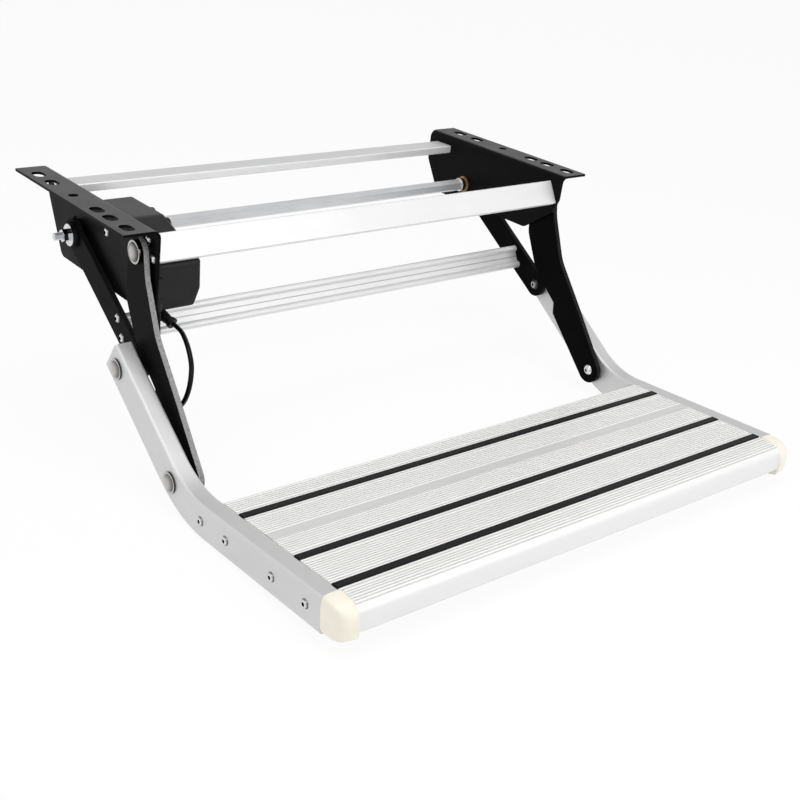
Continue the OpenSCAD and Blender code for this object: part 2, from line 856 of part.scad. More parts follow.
// A block from one distance to another, its front corners rounded above and below
module nose_view(from, to, low, top, r_top, r_low) {
    r = max(r_top, r_low);
    translate([from, low]) square([to - r - from, top - low]);
    translate([from, low]) square([to - r_low - from, top - low - r_top]);
    translate([from, low + r_low]) square([to - r_top - from, top - low - r_low]);
    translate([from, low + r_low]) square([to - from, top - low - r_low - r_top]);
    translate([to - r_top, top - r_top]) circle(r_top);
    translate([to - r_low, low + r_low]) circle(r_low);
}

module end_cap() {
    top = rail_lip + cap_lip;
    low = rail_lip - rail_h + 0.4;
    front = rail_end_u + cap_l;
    width = rail_w + cap_lip;
    plug = 14;
    corner = 12;
    edge = 5;
    rear = rail_end_u + running_gap;
    intersection() {
        plate(rail_in, width) tread_view() nose_view(rear - 5, front, low, top, 18, 11);
        translate([0, tread_rear[0], tread_rear[1]]) rotate([-tread_tilt, 0, 0]) mirror([0, 1, 0]) intersection() {
            translate([0, 0, low - 1]) linear_extrude(rail_h + 4) {
                translate([rail_in - 1, rear]) square([width + 1 - corner, front + 1 - rear]);
                translate([rail_in - 1, rear]) square([width + 1, front + 0.5 - corner - rear]);
                translate([rail_in + width - corner, front + 0.5 - corner]) circle(corner);
            }
            translate([0, rear - 2, 0]) rotate([90, 0, 0]) mirror([0, 0, 1]) linear_extrude(cap_l + 5) {
                translate([rail_in - 1, low]) square([width + 1 - edge, top - low]);
                translate([rail_in - 1, low + edge]) square([width + 1, top - low - 2 * edge]);
                for (z = [low + edge, top - edge]) translate([rail_in + width - edge, z]) circle(edge);
            }
        }
    }
    plate(rail_in + rail_wall + screw_gap, rail_w - 2 * rail_wall - 2 * screw_gap) tread_view()
        translate([rail_end_u - plug, -port_drop - (rail_h / 2 - rail_wall - screw_gap - rail_r)])
        square([plug + 0.5, rail_h - 2 * (rail_wall + screw_gap + rail_r)]);
}

module left_end_cap() {
    color("#efe6cf") on_side(-1) end_cap();
}

module right_end_cap() {
    color("#efe6cf") end_cap();
}

// Tread planks

// Evenly spaced grooves that leave ribs between two distances from the rear edge
module grooves(from, to) {
    count = round((to - from) / rib_pitch);
    pitch = (to - from) / count;
    for (i = [0:count - 1]) translate([from + (i + 0.28) * pitch, -rib_depth]) square([pitch * 0.44, rib_depth + 1]);
}

module strip_channel(u) {
    translate([u - strip_w / 2, -strip_seat]) square([strip_w, strip_seat + 1]);
}

// Screw ports with the webs that hold them between the top and the bottom of a plank
module port_webs(ports) {
    for (u = ports) {
        translate([u, -port_drop]) circle(port_r);
        translate([u - plank_wall / 2, -plank_h + 1]) square([plank_wall, plank_h - strip_seat - 2]);
    }
}

module port_bores(ports) {
    for (u = ports) translate([u, -port_drop]) circle(screw_r + screw_gap);
}

top_t = strip_seat + plank_wall;

module rear_plank() {
    end = plank_split - plank_joint / 2;
    outer = [[0, 0], [end, 0], [end, -plank_h], [-skirt_run, -plank_h], [-skirt_run, -skirt_drop]];
    hollow = [[1, -top_t], [end - plank_wall, -top_t], [end - plank_wall, -plank_h + plank_wall],
              [-skirt_run + plank_wall, -plank_h + plank_wall],
              [-skirt_run + plank_wall, -skirt_drop - plank_wall]];
    color("#dfe0e1") plate(-rail_in, 2 * rail_in) tread_view() difference() {
        polygon(outer);
        difference() {
            polygon(hollow);
            port_webs(rear_ports);
        }
        port_bores(rear_ports);
        grooves(1.5, strip_us[0] - strip_w / 2);
        strip_channel(strip_us[0]);
        grooves(strip_us[0] + strip_w / 2, plain_band[0]);
    }
}

// Grooves that carry the ribs on round the nose
module nose_grooves() {
    step = rib_pitch / nose_r * 180 / PI;
    for (i = [0:2]) translate([tread_depth - nose_r, -nose_r]) rotate(-(i + 0.55) * step)
        translate([-rib_pitch * 0.22, nose_r - rib_depth]) square([rib_pitch * 0.44, rib_depth + 1]);
}

module front_plank() {
    start = plank_split + plank_joint / 2;
    color("#dfe0e1") plate(-rail_in, 2 * rail_in) tread_view() difference() {
        nose_view(start, tread_depth, -plank_h, 0, nose_r, 4);
        difference() {
            nose_view(start + plank_wall, tread_depth - plank_wall - 1, -plank_h + plank_wall, -top_t, nose_r - plank_wall, 1.5);
            port_webs(front_ports);
        }
        port_bores(front_ports);
        grooves(plain_band[1] + 0.5, strip_us[1] - strip_w / 2);
        strip_channel(strip_us[1]);
        grooves(strip_us[1] + strip_w / 2, strip_us[2] - strip_w / 2);
        strip_channel(strip_us[2]);
        grooves(strip_us[2] + strip_w / 2, tread_depth - nose_r);
        nose_grooves();
    }
}

module grip_strip(u) {
    w = strip_w - 0.2;
    r = 1;
    color("#1c1a19") plate(-rail_in, 2 * rail_in) tread_view() translate([u, -strip_seat]) {
        translate([-w / 2, 0]) square([w, strip_t - r]);
        translate([-w / 2 + r, 0]) square([w - 2 * r, strip_t]);
        for (side = SIDES) translate([side * (w / 2 - r), strip_t - r]) circle(r);
    }
}

module rear_grip_strip() {
    grip_strip(strip_us[0]);
}

module middle_grip_strip() {
    grip_strip(strip_us[1]);
}

module front_grip_strip() {
    grip_strip(strip_us[2]);
}

// Fasteners on the rails

module rail_head() {
    pivot_head(pivot_flange_r, pivot_flange_t, pivot_head_r, pivot_head_h);
}

module drive_pivot_bolts() {
    shank = rail_out - arm_in + part_gap;
    color("#c8c9cb") both_sides() {
        along_x(rail_out, pivot_c) rail_head();
        along_x(rail_out - shank, pivot_c) cylinder(r = pivot_r, h = shank);
        along_x(rail_out - shank, pivot_c) mirror([0, 0, 1]) domed_head(pivot_inner_r + 1, 3.5);
    }
}

module front_rail_pins() {
    shank = rail_w + rail_gap - part_gap;
    color("#c8c9cb") both_sides() {
        along_x(rail_out, pivot_d) rail_head();
        along_x(rail_out - shank, pivot_d) cylinder(r = pivot_r, h = shank);
    }
}

module rail_washers() {
    t = rail_gap - part_gap;
    color("#e4e4e0") both_sides() for (at = [pivot_c, pivot_d]) difference() {
        along_x(rail_in - t, at) cylinder(r = washer_r, h = t);
        bore(at, pivot_r + screw_gap, rail_in - t - 1, t + 2);
    }
}

module plank_screws() {
    color("#c4c5c7") both_sides() for (at = rail_screw_spots)
        along_x(rail_out, at) screw(screw_r, rail_w + screw_grip, screw_head_r, screw_head_h);
}

left_bracket();
right_bracket();
front_crossbar();
rear_crossbar();
crossbar_screws();
shaft_bushes();
front_pivot_spacers();
front_pivot_bolts();
front_pivot_nuts();
motor_cover();
motor_can();
gearbox_housing();
gearbox_screws();
cover_screws();
motor_lead_gland();
motor_lead();
motor_lead_plug();
drive_shaft();
output_hub();
shaft_collar();
left_drive_arm();
right_drive_arm();
shaft_washers();
shaft_nuts();
lower_crossbar();
lower_crossbar_screws();
left_front_arm();
right_front_arm();
left_arm_stud();
right_arm_stud();
left_rail();
right_rail();
left_end_cap();
right_end_cap();
rear_plank();
front_plank();
rear_grip_strip();
middle_grip_strip();
front_grip_strip();
drive_pivot_bolts();
front_rail_pins();
rail_washers();
plank_screws();
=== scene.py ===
import math

import bmesh
import bpy
from mathutils import Matrix, Vector


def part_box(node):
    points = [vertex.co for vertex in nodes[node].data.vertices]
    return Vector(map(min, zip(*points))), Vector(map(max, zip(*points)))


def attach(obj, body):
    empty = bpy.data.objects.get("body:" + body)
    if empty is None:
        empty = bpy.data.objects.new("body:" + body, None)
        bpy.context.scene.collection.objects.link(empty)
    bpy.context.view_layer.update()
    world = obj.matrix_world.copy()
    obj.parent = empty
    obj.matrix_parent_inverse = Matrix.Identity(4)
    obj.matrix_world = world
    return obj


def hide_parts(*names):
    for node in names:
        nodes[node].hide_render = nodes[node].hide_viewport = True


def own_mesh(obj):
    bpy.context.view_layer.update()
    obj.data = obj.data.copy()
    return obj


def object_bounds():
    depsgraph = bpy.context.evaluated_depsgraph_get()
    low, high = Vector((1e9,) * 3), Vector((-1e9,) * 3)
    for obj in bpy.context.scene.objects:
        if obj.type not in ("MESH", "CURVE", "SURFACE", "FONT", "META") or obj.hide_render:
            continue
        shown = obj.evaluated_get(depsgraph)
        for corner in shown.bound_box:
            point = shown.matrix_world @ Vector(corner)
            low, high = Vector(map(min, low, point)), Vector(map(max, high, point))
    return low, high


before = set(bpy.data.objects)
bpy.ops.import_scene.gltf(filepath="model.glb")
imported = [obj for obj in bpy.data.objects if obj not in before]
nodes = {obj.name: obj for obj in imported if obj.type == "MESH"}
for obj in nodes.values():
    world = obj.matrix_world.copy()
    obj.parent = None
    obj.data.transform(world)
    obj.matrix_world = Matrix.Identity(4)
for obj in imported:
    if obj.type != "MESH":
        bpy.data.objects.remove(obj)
cad_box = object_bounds()
scene = bpy.context.scene
MM = 0.001


# Camera at the photograph's viewing angle

FOCAL_LENGTH = 55.15
SENSOR_WIDTH = 36
CAMERA_PLACE = (-0.853, -1.192, 0.3821)
CAMERA_AHEAD = (0.591, 0.688, -0.4215)
CAMERA_RIGHT = (0.7808, -0.6184, 0.0868)


def place_camera():
    """The camera stands in front of the step's motor side, above its top, with a slight roll."""
    lens = bpy.data.cameras.new("step_camera")
    lens.lens = FOCAL_LENGTH
    lens.sensor_width = SENSOR_WIDTH
    camera = bpy.data.objects.new("step_camera", lens)
    ahead = Vector(CAMERA_AHEAD).normalized()
    across = Vector(CAMERA_RIGHT)
    across = (across - across.dot(ahead) * ahead).normalized()
    above = across.cross(ahead)
    turn = Matrix((across, above, -ahead)).transposed().to_4x4()
    camera.matrix_world = Matrix.Translation(CAMERA_PLACE) @ turn
    scene.collection.objects.link(camera)
    scene.camera = camera


place_camera()


# Finishes

def socket(tree, value, target):
    """Links a node's output to a socket, or sets the socket to a plain value."""
    if isinstance(value, bpy.types.NodeSocket):
        tree.links.new(value, target)
    else:
        target.default_value = value


def node(tree, kind, out=0, **inputs):
    """Adds a shader node. Inputs are named with underscores for spaces, and settings start with set_."""
    made = tree.nodes.new(kind)
    for key, value in inputs.items():
        if key.startswith("set_"):
            setattr(made, key[4:], value)
    for key, value in inputs.items():
        if not key.startswith("set_"):
            name = int(key[1:]) if key[0] == "i" and key[1:].isdigit() else key.replace("_", " ")
            socket(tree, value, made.inputs[name])
    return made.outputs[out]


def ramp(tree, value, low, high, start=0.3, end=0.7):
    """Spreads a grey value between start and end onto the range from low to high."""
    return node(tree, "ShaderNodeMapRange", Value=value, From_Min=start, From_Max=end,
                To_Min=low, To_Max=high)


def blend(tree, share, first, second):
    """Mixes two colours by a share. Each is a plain colour or a node's output."""
    mixed = tree.nodes.new("ShaderNodeMix")
    mixed.data_type = "RGBA"
    socket(tree, share, mixed.inputs["Factor"])
    for colour, target in ((first, mixed.inputs["A"]), (second, mixed.inputs["B"])):
        socket(tree, (*colour, 1) if isinstance(colour, tuple) else colour, target)
    return mixed.outputs["Result"]


def tint(tree, value, first, second, start=0.3, end=0.7):
    """Mixes two colours by a grey value."""
    return blend(tree, ramp(tree, value, 0.0, 1.0, start, end), first, second)


def facing(tree, axis):
    """How far the surface of the piece faces along its own axis 0, 1 or 2."""
    return node(tree, "ShaderNodeSeparateXYZ", out=axis, Vector=node(tree, "ShaderNodeTexCoord", out=1))


def open_face(tree, reach):
    """1 on open faces of the piece, and less in its own grooves and corners; the materials use it as a mask
    for painted shade.
    """
    return node(tree, "ShaderNodeAmbientOcclusion", out=1, set_only_local=True, set_samples=8, Distance=reach)


def grain(tree, scale, stretch=(1, 1, 1), detail=3.0, rough=0.55, turn=(0, 0, 0)):
    """Noise on the piece's own coordinates, drawn out along the axes that get a small stretch."""
    place = node(tree, "ShaderNodeTexCoord", out=3)
    laid = node(tree, "ShaderNodeMapping", Vector=place, Rotation=turn, Scale=stretch)
    return node(tree, "ShaderNodeTexNoise", Vector=laid, Scale=scale, Detail=detail, Roughness=rough)


def add(tree, first, second, share):
    """first plus share times second."""
    return node(tree, "ShaderNodeMath", set_operation="MULTIPLY_ADD", i0=second, i1=share, i2=first)


def start_finish(name, metallic=0.0, **sockets):
    """Starts a material and sets plain values on its shader's own sockets."""
    made = bpy.data.materials.new(name)
    made.use_nodes = True
    tree = made.node_tree
    shader = tree.nodes["Principled BSDF"]
    shader.inputs["Metallic"].default_value = metallic
    for key, value in sockets.items():
        shader.inputs[key.replace("_", " ")].default_value = value
    return made, tree, shader


def lay(tree, shader, colour, rough):
    """Gives a shader its colour and its roughness."""
    socket(tree, colour, shader.inputs["Base Color"])
    socket(tree, rough, shader.inputs["Roughness"])


def bump(tree, shader, height, strength, distance):
    """Gives a shader a fine relief."""
    normal = node(tree, "ShaderNodeBump", Height=height, Strength=strength, Distance=distance)
    tree.links.new(normal, shader.inputs["Normal"])


def powder_coat(name, sheen, low, high):
    """Satin black powder coat: a fine orange peel with slightly duller patches."""
    made, tree, shader = start_finish(name, Specular_IOR_Level=sheen)
    peel = grain(tree, 950, detail=2.0)
    cloud = grain(tree, 22, detail=4.0)
    black = tint(tree, cloud, (0.0014, 0.0013, 0.0016), (0.0032, 0.003, 0.0035))
    rough = ramp(tree, add(tree, cloud, peel, 0.35), low, high, 0.4, 0.95)
    bump(tree, shader, peel, 0.12, 0.0003)
    return made, tree, shader, black, rough


def bracket_coat():
    """The brackets' coat, with a painted highlight: the faces that look up are painted a paler grey."""
    made, tree, shader, black, rough = powder_coat("black_powder_coat", 0.05, 0.34, 0.5)
    # Painted highlight: faces that look up are painted paler, standing in for the light they catch from
    # above.
    film_and_painted_top_tone = ramp(tree, facing(tree, 2), 0.0, 1.0, 0.9, 0.99)
    lay(tree, shader, blend(tree, film_and_painted_top_tone, black, (0.078, 0.077, 0.078)), rough)
    return made


def arm_coat(name, dark, pale):
    """The arms' coat, with a painted highlight on their cut edges: these are painted paler and made shinier
    than the sides.
    """
    made, tree, shader, black, rough = powder_coat(name, 0.02, 0.34, 0.48)
    side = node(tree, "ShaderNodeMath", set_operation="ABSOLUTE", i0=facing(tree, 0))
    edge = ramp(tree, side, 1.0, 0.0, 0.3, 0.7)
    # Painted highlight: the cut edges get a paler grey in place of the lamp's highlight on them.
    painted_edge_light = tint(tree, grain(tree, 500, detail=3.0), dark, pale)
    lay(tree, shader, blend(tree, edge, black, painted_edge_light), add(tree, rough, edge, -0.12))
    return made


def satin_aluminium(name, light, dark, stretch, metallic, low, high, dull):
    """Anodised extruded aluminium, with faint die lines along it, painted shade on faces that look up, and
    painted shade in its grooves and corners.
    """
    made, tree, shader = start_finish(name, metallic=metallic)
    lines = grain(tree, 1.0, stretch, detail=2.0, rough=0.5)
    cloud = grain(tree, 9, detail=3.0)
    shade = tint(tree, add(tree, cloud, lines, 0.3), dark, light, 0.4, 0.9)
    # Painted shade: grooves and corners darken towards a deeper grey.
    deep = ramp(tree, open_face(tree, 0.004), 0.0, 1.0, 0.3, 0.85)
    # Painted shade: faces that look up are painted duller, by the dull share of the light colour.
    film_and_painted_top_tone = ramp(tree, facing(tree, 2), 0.0, 1.0, 0.93, 0.99)
    shade = blend(tree, film_and_painted_top_tone, shade, tuple(dull * c for c in light))
    lay(tree, shader, blend(tree, deep, tuple(0.55 * c for c in dark), shade), ramp(tree, cloud, low, high))
    bump(tree, shader, lines, 0.02, 0.0001)
    return made


PLAIN_BAND_Y = -380.35 * MM
PLAIN_BAND_HALF = 6.3 * MM
TREAD_REAR = Vector((0, -301.72, -228.5)) * MM
TREAD_TILT = math.radians(3.2)
NOSE_START = 206.5 * MM
NOSE_R = 13 * MM


def depth_in_tread(tree):
    """Distance from the line that the nose's arc is struck from: NOSE_R on the ribs, less in grooves."""
    place = node(tree, "ShaderNodeTexCoord", out=3)
    from_rear = node(tree, "ShaderNodeVectorMath", set_operation="SUBTRACT", i0=place, i1=TREAD_REAR)
    slope, rise = math.sin(TREAD_TILT), math.cos(TREAD_TILT)
    reach = []
    for way, zero in (((0, -rise, slope), -NOSE_START), ((0, slope, rise), NOSE_R)):
        along = node(tree, "ShaderNodeVectorMath", out=1, set_operation="DOT_PRODUCT", i0=from_rear, i1=way)
        past = node(tree, "ShaderNodeMath", set_operation="ADD", i0=along, i1=zero)
        reach.append(node(tree, "ShaderNodeMath", set_operation="MAXIMUM", i0=past, i1=0.0))
    both = node(tree, "ShaderNodeCombineXYZ", X=reach[0], Y=reach[1])
    return node(tree, "ShaderNodeVectorMath", out=1, set_operation="LENGTH", i0=both)


def tread_aluminium():
    """The tread's ribs over grooves with painted shade, a duller plain band, and painted shade on the front
    of the nose.
    """
    made, tree, shader = start_finish("ribbed_tread", metallic=0.2)
    rubbed = grain(tree, 14, (0.6, 1, 1), detail=4.0)
    ribs = tint(tree, rubbed, (0.96, 0.955, 0.94), (0.985, 0.98, 0.965))
    # Painted shade: the grooves are painted a darker grey by their depth below the ribs.
    depth = ramp(tree, depth_in_tread(tree), 0.0, 1.0, NOSE_R - 0.35 * MM, NOSE_R - 0.12 * MM)
    across = node(tree, "ShaderNodeSeparateXYZ", out=1, Vector=node(tree, "ShaderNodeTexCoord", out=3))
    plain = node(tree, "ShaderNodeMath", set_operation="COMPARE", i0=across, i1=PLAIN_BAND_Y,
                 i2=PLAIN_BAND_HALF)
    # Painted shade: faces that look forward, at the front of the nose, are painted darker.
    front = ramp(tree, facing(tree, 1), 1.0, 0.0, -0.95, -0.6)
    shade = blend(tree, plain, blend(tree, front, ribs, (0.85, 0.85, 0.85)), (0.66, 0.66, 0.65))
    lay(tree, shader, blend(tree, depth, (0.76, 0.76, 0.75), shade), ramp(tree, rubbed, 0.42, 0.5))
    return made


def zinc_plate():
    """Bright zinc with a faint cool bloom, and painted shade in its sockets and corners."""
    made, tree, shader = start_finish("zinc_plate", metallic=1.0)
    bloom = grain(tree, 160, detail=4.0)
    fine = grain(tree, 1400, detail=2.0)
    bright = tint(tree, bloom, (0.60, 0.61, 0.63), (0.76, 0.76, 0.77))
    # Painted shade: sockets and corners are painted near black.
    depth = ramp(tree, open_face(tree, 0.0035), 0.0, 1.0, 0.4, 0.9)
    lay(tree, shader, blend(tree, depth, (0.06, 0.06, 0.064), bright), ramp(tree, bloom, 0.07, 0.13))
    bump(tree, shader, fine, 0.04, 0.0002)
    return made


def chrome_head(name, slope, top, bright, dull):
    """Chrome heads on the sides, with painted reflections: bright on flat tops, dark on slopes steeper than
    slope, and painted shade in sockets.
    """
    made, tree, shader = start_finish(name, metallic=1.0)
    bloom = grain(tree, 300, detail=3.0)
    flat = node(tree, "ShaderNodeMath", set_operation="ABSOLUTE", i0=facing(tree, 0))
    # Painted shade in sockets and corners.
    depth = ramp(tree, open_face(tree, 0.003), 0.0, 1.0, 0.45, 0.9)
    # Painted reflection: flat tops get the bright colour, and steeper slopes a near-black one.
    painted_reflection = blend(tree, ramp(tree, flat, 0.0, 1.0, slope, top), (0.05, 0.048, 0.048), bright)
    lay(tree, shader, blend(tree, depth, (0.02, 0.02, 0.021), painted_reflection), ramp(tree, bloom, 0.5 * dull, dull))
    return made


def drawn_steel():
    """Cold drawn shaft steel: streaks along the shaft and a thin grey film."""
    made, tree, shader = start_finish("drawn_shaft_steel", metallic=0.6)
    streak = grain(tree, 1.0, (3, 700, 700), detail=4.0, rough=0.7)
    film_and_painted_top_tone = grain(tree, 60, (0.3, 1, 1), detail=3.0)
    grey = tint(tree, add(tree, streak, film_and_painted_top_tone, 0.6), (0.62, 0.63, 0.64), (0.80, 0.81, 0.82), 0.5, 1.1)
    lay(tree, shader, grey, ramp(tree, streak, 0.34, 0.46))
    bump(tree, shader, streak, 0.05, 0.0002)
    return made


def bush_bronze():
    """Sintered bronze: open grain, dulled by oil."""
    made, tree, shader = start_finish("bush_bronze", metallic=1.0)
    pores = grain(tree, 1500, detail=3.0)
    oil = grain(tree, 70, detail=3.0)
    lay(tree, shader, tint(tree, oil, (0.24, 0.13, 0.06), (0.42, 0.25, 0.12)), ramp(tree, oil, 0.3, 0.5))
    bump(tree, shader, pores, 0.15, 0.0003)
    return made


def moulded_black(name, low, high, size):
    """Black moulded plastic with a spark-eroded grain."""
    made, tree, shader = start_finish(name, Specular_IOR_Level=0.28)
    eroded = grain(tree, size, detail=3.0)
    cloud = grain(tree, 30, detail=3.0)
    lay(tree, shader, tint(tree, cloud, (0.0065, 0.006, 0.0065), (0.012, 0.011, 0.0115)),
        ramp(tree, eroded, low, high))
    bump(tree, shader, eroded, 0.25, 0.0003)
    return made


def ivory_cap():
    """Ivory moulding: a little light goes in, and the surface has a faint flow texture."""
    made, tree, shader = start_finish("ivory_cap", Specular_IOR_Level=0.45, Subsurface_Weight=0.12,
                                      Subsurface_Radius=(0.004, 0.003, 0.002))
    flow = grain(tree, 120, (1, 0.35, 1), detail=4.0)
    fine = grain(tree, 1800, detail=2.0)
    lay(tree, shader, tint(tree, flow, (0.93, 0.88, 0.76), (0.96, 0.915, 0.80)),
        ramp(tree, flow, 0.36, 0.48))
    bump(tree, shader, fine, 0.06, 0.0002)
    return made


def grip_rubber():
    """Black-brown rubber strip with a gritty, dull surface."""
    made, tree, shader = start_finish("grip_rubber", Specular_IOR_Level=0.16)
    grit = grain(tree, 1300, detail=3.0)
    dust = grain(tree, 40, (0.5, 1, 1), detail=4.0)
    lay(tree, shader, tint(tree, dust, (0.0018, 0.002, 0.0022), (0.0042, 0.0042, 0.0043)),
        ramp(tree, grit, 0.45, 0.65))
    bump(tree, shader, grit, 0.4, 0.0005)
    return made


def nylon_washer():
    """Plain pale nylon."""
    made, tree, shader = start_finish("nylon_washer", Specular_IOR_Level=0.4)
    cloud = grain(tree, 90, detail=3.0)
    lay(tree, shader, tint(tree, cloud, (0.62, 0.62, 0.59), (0.72, 0.72, 0.69)),
        ramp(tree, cloud, 0.4, 0.55))
    return made


def cast_metal(name, dark, light):
    """Die cast or painted motor metal, with a sandy skin."""
    made, tree, shader = start_finish(name, metallic=0.8)
    sand = grain(tree, 800, detail=3.0)
    lay(tree, shader, tint(tree, sand, dark, light), ramp(tree, sand, 0.4, 0.6))
    bump(tree, shader, sand, 0.2, 0.0004)
    return made


def wire_pvc():
    """Glossy black wire insulation with slight swells along the lead."""
    made, tree, shader = start_finish("wire_pvc", Specular_IOR_Level=0.12)
    along = node(tree, "ShaderNodeAttribute", out=2, set_attribute_name="lead_along")
    swell = node(tree, "ShaderNodeTexNoise", set_noise_dimensions="1D", W=along, Scale=180.0, Detail=2.0)
    fine = grain(tree, 1200, detail=2.0)
    lay(tree, shader, tint(tree, fine, (0.0015, 0.0015, 0.0018), (0.004, 0.004, 0.0043)),
        ramp(tree, swell, 0.16, 0.3))
    bump(tree, shader, add(tree, swell, fine, 0.1), 0.1, 0.0004)
    return made


coat = bracket_coat()
# The left front arm's copy has far paler cut edges, a painted highlight from the front lamp; the other arms
# keep dark edges.
highlit_arm = arm_coat("arm_coat_painted_highlight", (0.22, 0.22, 0.225), (0.40, 0.40, 0.405))
plain_arm = arm_coat("black_arm_coat", (0.008, 0.008, 0.009), (0.03, 0.03, 0.032))
tube_metal = satin_aluminium("satin_rail_tube", (0.70, 0.70, 0.70), (0.65, 0.65, 0.65), (150, 30, 150),
                             metallic=0.5, low=0.46, high=0.54, dull=0.84)
bar_metal = satin_aluminium("bright_crossbar", (0.86, 0.86, 0.865), (0.82, 0.82, 0.825), (4, 300, 300),
                            metallic=0.45, low=0.44, high=0.52, dull=0.74)
tread_metal = tread_aluminium()
zinc = zinc_plate()
screw_chrome = chrome_head("screw_chrome", 0.7, 0.9, (0.76, 0.75, 0.74), dull=0.16)
pivot_chrome = chrome_head("pivot_chrome", 0.8, 0.96, (0.46, 0.45, 0.44), dull=0.1)
shaft_metal = drawn_steel()
bronze = bush_bronze()
cover_plastic = moulded_black("motor_cover_plastic", 0.34, 0.5, 900)
fitting_plastic = moulded_black("lead_fitting_plastic", 0.45, 0.62, 1500)
ivory = ivory_cap()
rubber = grip_rubber()
nylon = nylon_washer()
motor_paint = cast_metal("motor_paint", (0.04, 0.04, 0.045), (0.08, 0.08, 0.085))
gear_casting = cast_metal("gear_casting", (0.30, 0.31, 0.32), (0.44, 0.45, 0.46))
sleeve = wire_pvc()

FINISHES = {
    "left_bracket right_bracket": coat,
    "left_front_arm": highlit_arm,
    "left_drive_arm right_drive_arm right_front_arm gearbox_screws": plain_arm,
    "left_rail right_rail": tube_metal,
    "front_crossbar rear_crossbar lower_crossbar": bar_metal,
    "rear_plank front_plank": tread_metal,
    "crossbar_screws lower_crossbar_screws cover_screws plank_screws": screw_chrome,
    "front_pivot_bolts drive_pivot_bolts front_rail_pins": pivot_chrome,
    "front_pivot_nuts front_pivot_spacers left_arm_stud right_arm_stud": zinc,
    "shaft_washers shaft_nuts shaft_collar": zinc,
    "drive_shaft output_hub": shaft_metal,
    "shaft_bushes": bronze,
    "motor_cover": cover_plastic,
    "motor_lead_gland motor_lead_plug": fitting_plastic,
    "left_end_cap right_end_cap": ivory,
    "rear_grip_strip middle_grip_strip front_grip_strip": rubber,
    "rail_washers": nylon,
    "motor_can": motor_paint,
    "gearbox_housing": gear_casting,
    "motor_lead": sleeve,
}

for names, finish in FINISHES.items():
    for name in names.split():
        mesh = nodes[name].data
        mesh.materials.clear()
        mesh.materials.append(finish)


# Pieces that are added to the frame

def piece(name, mesh_data, finish, body):
    """Makes an object of a bmesh that is finished, and lets it ride on a body."""
    mesh = bpy.data.meshes.new(name)
    mesh_data.to_mesh(mesh)
    mesh_data.free()
    mesh.materials.append(finish)
    made = bpy.data.objects.new(name, mesh)
    scene.collection.objects.link(made)
    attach(made, body)
    return made


def set_in_tread(bm, side):
    """Moves a mesh from the tread's own frame, forward along y and up along z, to its place on one side."""
    slope, rise = math.sin(TREAD_TILT), math.cos(TREAD_TILT)
    lean = Matrix(((side, 0, 0), (0, -rise, slope), (0, slope, rise))).to_4x4()
    bmesh.ops.transform(bm, matrix=Matrix.Translation(TREAD_REAR) @ lean, verts=bm.verts)
    bmesh.ops.recalc_face_normals(bm, faces=bm.faces)


TREAD_HALF = 300 * MM
RAIL_END = 191.55 * MM
CAP_LOW = -38.1 * MM
CAP_TOP = 1.3 * MM
CAP_EDGE = 3.6 * MM
CAP_LEVELS = 3
NEAR = 0.01 * MM
# Distance ahead of the rail, and how far the cap has drawn in at its side, top and bottom there
CAP_STATIONS = ((0, 0, 0, 0), (8, 0, 0, 0), (18, 0.8, 1.5, 0), (26.4, 4, 6.5, 2), (30.6, 10.5, 14, 8.5))


def end_cap(side, word):
    """A soft ivory cap: flat where it meets the rail and the tread, and round like a toe at its front."""
    outer = -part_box("left_end_cap")[0].x
    bm = bmesh.new()
    crease = bm.edges.layers.float.new("crease_edge")
    ring = []
    for ahead, narrow, fall, rise in CAP_STATIONS:
        u, out = RAIL_END + ahead * MM, outer - narrow * MM
        low, top = CAP_LOW + rise * MM, CAP_TOP - fall * MM
        spots = [(TREAD_HALF, low), (out - CAP_EDGE, low), (out, low + CAP_EDGE), (out, top - CAP_EDGE),
                 (out - CAP_EDGE, top), (TREAD_HALF, top)]
        if not ring:
            ring = [bm.verts.new((x, u, v)) for x, v in spots]
            face = bm.faces.new(ring)
            continue
        last = face
        made = bmesh.ops.extrude_face_region(bm, geom=[last])["geom"]
        face = next(g for g in made if isinstance(g, bmesh.types.BMFace))
        if ahead > CAP_STATIONS[1][0]:
            bmesh.ops.delete(bm, geom=[last], context="FACES_ONLY")
        for v, (x, z) in zip(face.verts, spots):
            v.co = (x, u, z)
    for e in bm.edges:
        at_rail = all(abs(v.co.y - RAIL_END) < NEAR for v in e.verts)
        at_tread = all(abs(v.co.x - TREAD_HALF) < NEAR for v in e.verts)
        e[crease] = 1.0 if at_rail or at_tread else 0.0
    set_in_tread(bm, side)
    for f in bm.faces:
        f.smooth = True
    cap = piece(word + "_toe_cap", bm, ivory, "step")
    soft = cap.modifiers.new("moulded_form", "SUBSURF")
    soft.levels = soft.render_levels = CAP_LEVELS
    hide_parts(word + "_end_cap")


end_cap(-1, "left")
end_cap(1, "right")


# Sizes of the planks' section, in millimetres from the tread's rear edge and down from its top
PLANK_H = 31
PLANK_WALL = 2.5
PLANK_ROOF = 4.7
PLANK_JOINT = (84.8, 85.2)
SKIRT_BACK = -18
SKIRT_TOP = -10
SKIRT_ROOF_START = 1
NOSE_END = 219.5
NOSE_CORNER = 4
NOSE_GROOVES = 3
NOSE_STEP = 14.5
NOSE_STEPS = 16
GROOVE_STEP = 3.63
GROOVE_W = 1.6
GROOVE_DEEP = 1.0
GROOVE_ROWS = ((3.0, 5), (43.6, 8), (86.8, 8), (138.5, 10), (196.9, 3))
STRIP_SPOTS = (31, 125.5, 184)
STRIP_W = 10
STRIP_SEAT = 2.2
STRIP_LIPS = (22.5, 39.2, 117.0, 134.0, 175.5, 192.5)
LIP_W = 2.0
REAR_WEB = 34
FRONT_WEBS = (114, 168)
RIB_ANGLE = math.radians(25)


